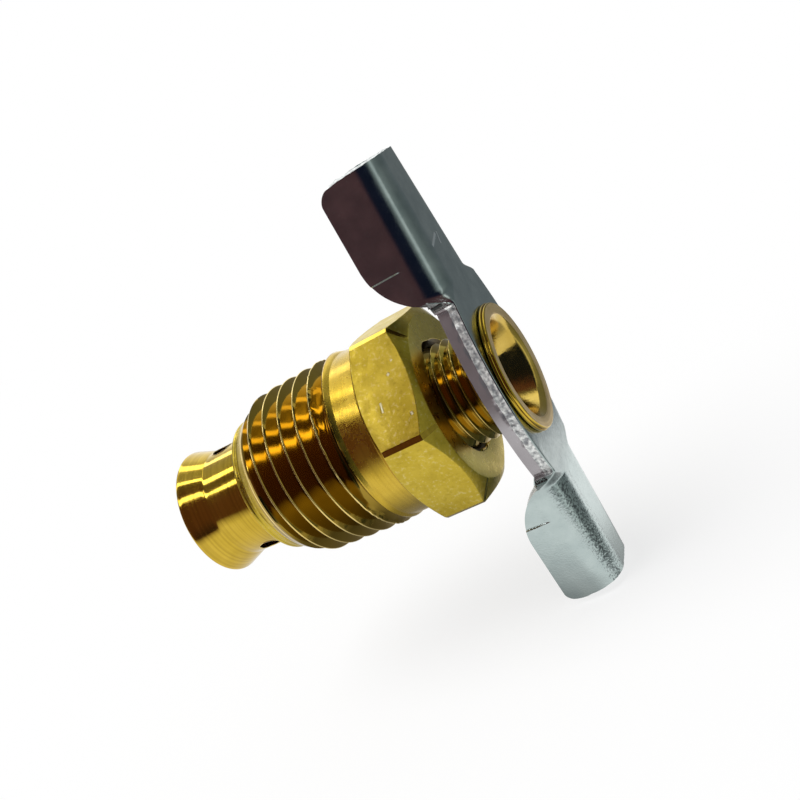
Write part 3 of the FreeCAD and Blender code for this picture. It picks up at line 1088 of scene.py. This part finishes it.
def stations():
    """Places along one wing, close together where the sheet is coined, creased or cut."""
    places = []
    for first, last, step in WING_SPANS:
        count = round((last - first) / step)
        places += [first + (last - first) * index / count for index in range(count)]
    return places + [WING_REACH]


def outerness(index):
    """1 on the sheet's outer side, 0 on its inner side."""
    if index <= EDGE_FIRST:
        return 1.0
    return max(0.0, 1 - (index - EDGE_FIRST) / EDGE_STEPS)


def wing_row(along, upper):
    half = half_section(along, upper)
    last = len(half) - 1
    back_slope, front_slope = UPPER_END_SLOPES if upper else LOWER_END_SLOPES
    near_end = smooth(along, WING_REACH - END_WEAR, WING_REACH)
    row = []
    for side, order in ((1, range(len(half))), (-1, range(last - 1, 0, -1))):
        for index in order:
            x, y = half[index]
            y *= side
            forward = (x - FLANGE_BACK) / (PLATE_FRONT - FLANGE_BACK)
            slope = back_slope + (front_slope - back_slope) * forward
            drop = near_end * (slope * outerness(index) + END_WAVE * (1 + rough(x * 2.4, y * 2.4, 5)))
            height = along - drop
            row.append((x, y, height if upper else -height))
    return row


def wing_end(shell, row, half_count):
    """Close the sheared end of a wing with a rough face between the sheet's two sides."""
    count = len(row)
    across = END_STEPS
    lanes = []
    columns = list(range(-(half_count - 1) // 2, (half_count - 1) // 2 + 1))
    for column in columns:
        mirror = column < 0
        index = abs(column)
        mate = half_count - 1 - index
        outer = Vector(row[(count - index) % count if mirror else index])
        inner = Vector(row[(count - mate) % count if mirror else mate])
        lane = []
        for step in range(across + 1):
            t = step / across
            spot = outer.lerp(inner, t)
            if 0 < step < across:
                outward = math.copysign(1, spot.z)
                spot.z -= outward * (END_ROUGHNESS * rough(spot.x * 4, spot.y * 4, 11) + END_DISH)
            spot.z = min(max(spot.z, -END_LIMIT), END_LIMIT)
            lane.append(tuple(spot))
        lanes.append(lane)
    first = len(shell.points)
    for lane in lanes:
        shell.points.extend(lane)
    for number in range(len(lanes) - 1):
        for step in range(across):
            here = first + number * (across + 1) + step
            there = here + across + 1
            shell.face((here, here + 1, there + 1, there), WING_SHEARED)


def make_wing_handle():
    shell = Shell()
    places = stations()
    rows = [wing_row(along, False) for along in reversed(places)]
    rows += [wing_row(along, True) for along in places[1:]]
    half_count = len(half_section(0.0, True))
    count = len(rows[0])
    levels = list(reversed(places)) + places[1:]

    def sheet_mark(band, column):
        index = min(column, count - 1 - column)
        along = levels[band]
        if SIDE_FIRST <= index < EDGE_FIRST and along < FRACTURE_END:
            return WING_FRACTURED if index < SIDE_FIRST + FRACTURE_STEPS else WING_BURNISHED
        if EDGE_FIRST <= index < INNER_FIRST and along > NECK_SPAN[1]:
            return WING_SHEARED
        return WING_PLATED

    shell.rings(rows, sheet_mark)
    wing_end(shell, rows[0], half_count)
    wing_end(shell, rows[-1], half_count)
    piece = shell.piece("wing_handle_visual", [plated, fractured, burnished, sheared])
    drill(piece, (PLATE_BACK, 0, 0), (1, 0, 0), TENON_HOLE, TENON_DRILL)
    return piece


body_piece = make_valve_body()
stem_piece = make_stem()
handle_piece = make_wing_handle()
for piece, body, node, slot in (
    (body_piece, "root", "valve_body", "body_brass"),
    (stem_piece, "stem", "stem", "stem_brass"),
    (handle_piece, "handle", "wing_handle", "zinc_steel"),
):
    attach(piece, body)
    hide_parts(node)


# Floor, and the room that the metal mirrors

FLOOR_LEVEL = -WING_REACH - 0.05
FLOOR_HALF_SIZE = 4000
FLOOR_COLOUR = (0.9, 0.9, 0.9, 1)
FLOOR_GLOW = 0.7
TABLE_UP = Vector((0.473, 0.0, 0.881)).normalized()
TABLE_AWAY = Vector((0.0, 1.0, 0.0))
TABLE_RIGHT = TABLE_AWAY.cross(TABLE_UP)
TABLE_DEPTH = 13.1
TABLE_CORNERS = ((-90, 14), (-24, -24), (16, -46), (62, -46), (62, 74), (-90, 74))
UNDER_SIZE = (20, 11)
UNDER_CORE = 0.35
SHADOW_MIDDLE = (18, 9)
SHADOW_SIZE = (17, 15)
SHADOW_CORE = 0.3
TABLE_EDGE = Vector((0.49, 0.872, 0.0)).normalized()
TABLE_EDGE_AT = -25.5
TABLE_EDGE_SOFT = 6.0
BEYOND_TABLE = (0.13, 0.065, 0.06)
UNDER_SHADE = (0.3, 0.3, 0.3)
BEHIND_SHADE = (0.42, 0.42, 0.42)
ROOM_RADIUS = 200
ROOM_RINGS = 32
ROOM_SIDES = 64
WINDOW_FEATHER = math.radians(1.0)
WORLD_STRENGTH = 0.45
SKY_AZIMUTH = -150
SKY_HEIGHT = 60
SKY_POWER = 2.4
SKY_ANGLE = 60
SKY_DISTANCE = 400
ROOM_TONES = (
    (-180, (0.20, 0.19, 0.17)),
    (-136, (0.13, 0.065, 0.07)),
    (-95, (0.12, 0.055, 0.06)),
    (-82, (0.012, 0.014, 0.03)),
    (-46, (0.01, 0.014, 0.03)),
    (-31, (0.28, 0.31, 0.30)),
    (-20, (0.88, 0.92, 0.90)),
    (-10, (0.30, 0.33, 0.32)),
    (25, (0.18, 0.20, 0.20)),
    (64, (0.18, 0.20, 0.21)),
    (92, (0.20, 0.21, 0.21)),
    (106, (1.30, 1.32, 1.30)),
    (132, (1.20, 1.22, 1.18)),
    (150, (0.25, 0.25, 0.23)),
    (180, (0.20, 0.19, 0.17)),
)
WINDOWS = (
    (-27, -1, 16, 60, 0.5),
    (-27, -1, 31, 41, 1.6),
    (-39, -28, 13, 52, 3.2),
    (1.5, 10, 22, 62, 4.5),
    (27, 34, 16, 34, 5.6),
    (45, 54, 36, 62, 4.0),
)


def make_floor():
    size = FLOOR_HALF_SIZE
    shell = Shell()
    shell.points = [(-size, -size, FLOOR_LEVEL), (size, -size, FLOOR_LEVEL),
                    (size, size, FLOOR_LEVEL), (-size, size, FLOOR_LEVEL)]
    shell.face((0, 1, 2, 3), 0)
    material, tree, shader = new_material("pale_floor")
    fill(shader, {"Base Color": FLOOR_COLOUR, "Roughness": 1.0, "Specular IOR Level": 0.0})
    glow = tree.nodes.new("ShaderNodeEmission")
    fill(glow, {"Strength": 1.0})
    blend = tree.nodes.new("ShaderNodeMixShader")
    fill(blend, {"Fac": FLOOR_GLOW})
    tree.links.new(shader.outputs["BSDF"], blend.inputs[1])
    tree.links.new(glow.outputs["Emission"], blend.inputs[2])
    tree.links.new(blend.outputs["Shader"], tree.nodes["Material Output"].inputs["Surface"])
    floor = shell.piece("floor", [material])
    floor.visible_glossy = False


def show_in_metal_only(screen):
    screen.visible_camera = False
    screen.visible_diffuse = False
    screen.visible_shadow = False
    screen.visible_transmission = False


def glowing(name):
    material, tree, shader = new_material(name)
    glow = tree.nodes.new("ShaderNodeEmission")
    tree.links.new(glow.outputs["Emission"], tree.nodes["Material Output"].inputs["Surface"])
    tree.nodes.remove(shader)
    material.cycles.emission_sampling = "NONE"
    return material, tree, glow


def make_table():
    """The white table that the cock lies on in the photograph, seen only in the metal."""
    shell = Shell()
    for right, away in TABLE_CORNERS:
        shell.points.append(tuple(TABLE_RIGHT * right + TABLE_AWAY * away - TABLE_UP * TABLE_DEPTH))
    shell.face(tuple(range(len(TABLE_CORNERS))), 0)
    material, tree, glow = glowing("white_table")
    place = object_place(tree)
    under_scale = (1 / (UNDER_SIZE[0] * MM), 1 / (UNDER_SIZE[1] * MM), 0)
    under = add_vector(tree, "MULTIPLY", place, under_scale)
    distance = add_vector(tree, "LENGTH", under, output="Value")
    shade = add_ramp(tree, distance, [(UNDER_CORE, UNDER_SHADE), (1.0, WHITE)])
    parts = []
    for direction, middle, size in zip((TABLE_RIGHT, TABLE_AWAY), SHADOW_MIDDLE, SHADOW_SIZE):
        along = add_dot(tree, place, direction / (size * MM))
        parts.append(add_math(tree, "SUBTRACT", along, middle / size))
    squares = [add_math(tree, "MULTIPLY", part, part) for part in parts]
    off_middle = add_math(tree, "SQRT", add_math(tree, "ADD", *squares))
    behind = add_ramp(tree, off_middle, [(SHADOW_CORE, BEHIND_SHADE), (1.0, WHITE)])
    shade = add_mix(tree, "MULTIPLY", 1.0, shade, behind)
    depth = add_dot(tree, place, TABLE_RIGHT * TABLE_EDGE.x + TABLE_AWAY * TABLE_EDGE.y)
    lit = add_range(tree, depth, (TABLE_EDGE_AT - TABLE_EDGE_SOFT) * MM,
                    (TABLE_EDGE_AT + TABLE_EDGE_SOFT) * MM, 0.0, 1.0)
    shade = add_mix(tree, "MIX", lit, BEYOND_TABLE, shade)
    tree.links.new(shade, glow.inputs["Color"])
    show_in_metal_only(shell.piece("table", [material]))


def make_room():
    """A dim room with tall windows on one side, seen only in the metal."""
    shell = Shell()
    rows = []
    for step in range(ROOM_RINGS + 1):
        height = -math.pi / 2 + math.pi * step / ROOM_RINGS
        level = ROOM_RADIUS * math.sin(height)
        across = ROOM_RADIUS * math.cos(height)
        turns = [math.tau * side / ROOM_SIDES for side in range(ROOM_SIDES)]
        rows.append([(across * math.cos(turn), across * math.sin(turn), level) for turn in turns])
    shell.rings(rows, lambda band, column: 0)
    material, tree, glow = glowing("dim_room")
    ray = add_vector(tree, "NORMALIZE", object_place(tree))
    axes = (TABLE_RIGHT, TABLE_AWAY, -TABLE_RIGHT, -TABLE_AWAY, TABLE_UP)
    right, away, left, near, up = [add_dot(tree, ray, axis) for axis in axes]
    turn = add_math(tree, "ARCTAN2", away, right)
    left_turn = add_math(tree, "ARCTAN2", near, left)
    height = add_math(tree, "ARCSINE", up)
    share = add_range(tree, turn, -math.pi, math.pi, 0.0, 1.0)
    colour = add_ramp(tree, share, [((azimuth + 180) / 360, tone) for azimuth, tone in ROOM_TONES])
    feather = WINDOW_FEATHER
    for first, last, low, high, level in WINDOWS:
        inside = None
        for angle, start, stop in ((left_turn, first, last), (height, low, high)):
            begin = math.radians(start)
            finish = math.radians(stop)
            for edge in (add_range(tree, angle, begin - feather, begin + feather, 0.0, 1.0),
                         add_range(tree, angle, finish - feather, finish + feather, 1.0, 0.0)):
                inside = edge if inside is None else add_math(tree, "MULTIPLY", inside, edge)
        colour = add_mix(tree, "MIX", inside, colour, (level, level, level))
    tree.links.new(colour, glow.inputs["Color"])
    show_in_metal_only(shell.piece("room", [material]))


def make_world():
    world = bpy.data.worlds.new("studio")
    bpy.context.scene.world = world
    world.use_nodes = True
    tree = world.node_tree
    room = tree.nodes["Background"]
    fill(room, {"Color": (*WHITE, 1), "Strength": WORLD_STRENGTH})
    white = tree.nodes.new("ShaderNodeBackground")
    fill(white, {"Color": (*WHITE, 1), "Strength": 1.0})
    path = tree.nodes.new("ShaderNodeLightPath")
    seen = add_math(tree, "ADD", path.outputs["Is Camera Ray"], path.outputs["Is Glossy Ray"])
    seen = add_math(tree, "ADD", seen, path.outputs["Is Transmission Ray"])
    seen = add_math(tree, "MINIMUM", seen, 1.0)
    mix = tree.nodes.new("ShaderNodeMixShader")
    tree.links.new(seen, mix.inputs["Fac"])
    tree.links.new(room.outputs["Background"], mix.inputs[1])
    tree.links.new(white.outputs["Background"], mix.inputs[2])
    tree.links.new(mix.outputs["Shader"], tree.nodes["World Output"].inputs["Surface"])


def make_sky():
    """Soft light from above for the floor and its shadow."""
    lamp = bpy.data.lights.new("soft_sky", "SUN")
    lamp.energy = SKY_POWER
    lamp.angle = math.radians(SKY_ANGLE)
    holder = bpy.data.objects.new("soft_sky", lamp)
    bpy.context.scene.collection.objects.link(holder)
    turn = math.radians(SKY_AZIMUTH)
    rise = math.radians(SKY_HEIGHT)
    away = Vector((math.cos(rise) * math.cos(turn), math.cos(rise) * math.sin(turn), math.sin(rise)))
    holder.location = away * SKY_DISTANCE * MM
    holder.rotation_euler = (-away).to_track_quat("-Z", "Y").to_euler()
    holder.visible_glossy = False


make_floor()
make_table()
make_room()
make_world()
make_sky()


# Camera, at the photograph's viewing angle

CAMERA_PLACE = (28.358, -64.840, 17.996)
CAMERA_LOOK = (-0.3833, 0.8952, -0.2273)
CAMERA_ROLL = 31.96
CAMERA_LENS = 44.60
CAMERA_SENSOR = 36


def make_camera():
    lens = bpy.data.cameras.new("camera")
    lens.lens = CAMERA_LENS
    lens.sensor_width = CAMERA_SENSOR
    lens.clip_start = 1 * MM
    camera = bpy.data.objects.new("camera", lens)
    bpy.context.scene.collection.objects.link(camera)
    aim = Vector(CAMERA_LOOK).to_track_quat("-Z", "Y").to_matrix().to_4x4()
    roll = Matrix.Rotation(math.radians(-CAMERA_ROLL), 4, "Z")
    camera.matrix_world = Matrix.Translation(Vector(CAMERA_PLACE) * MM) @ aim @ roll
    bpy.context.scene.camera = camera


make_camera()
bpy.context.scene.view_settings.view_transform = "Standard"
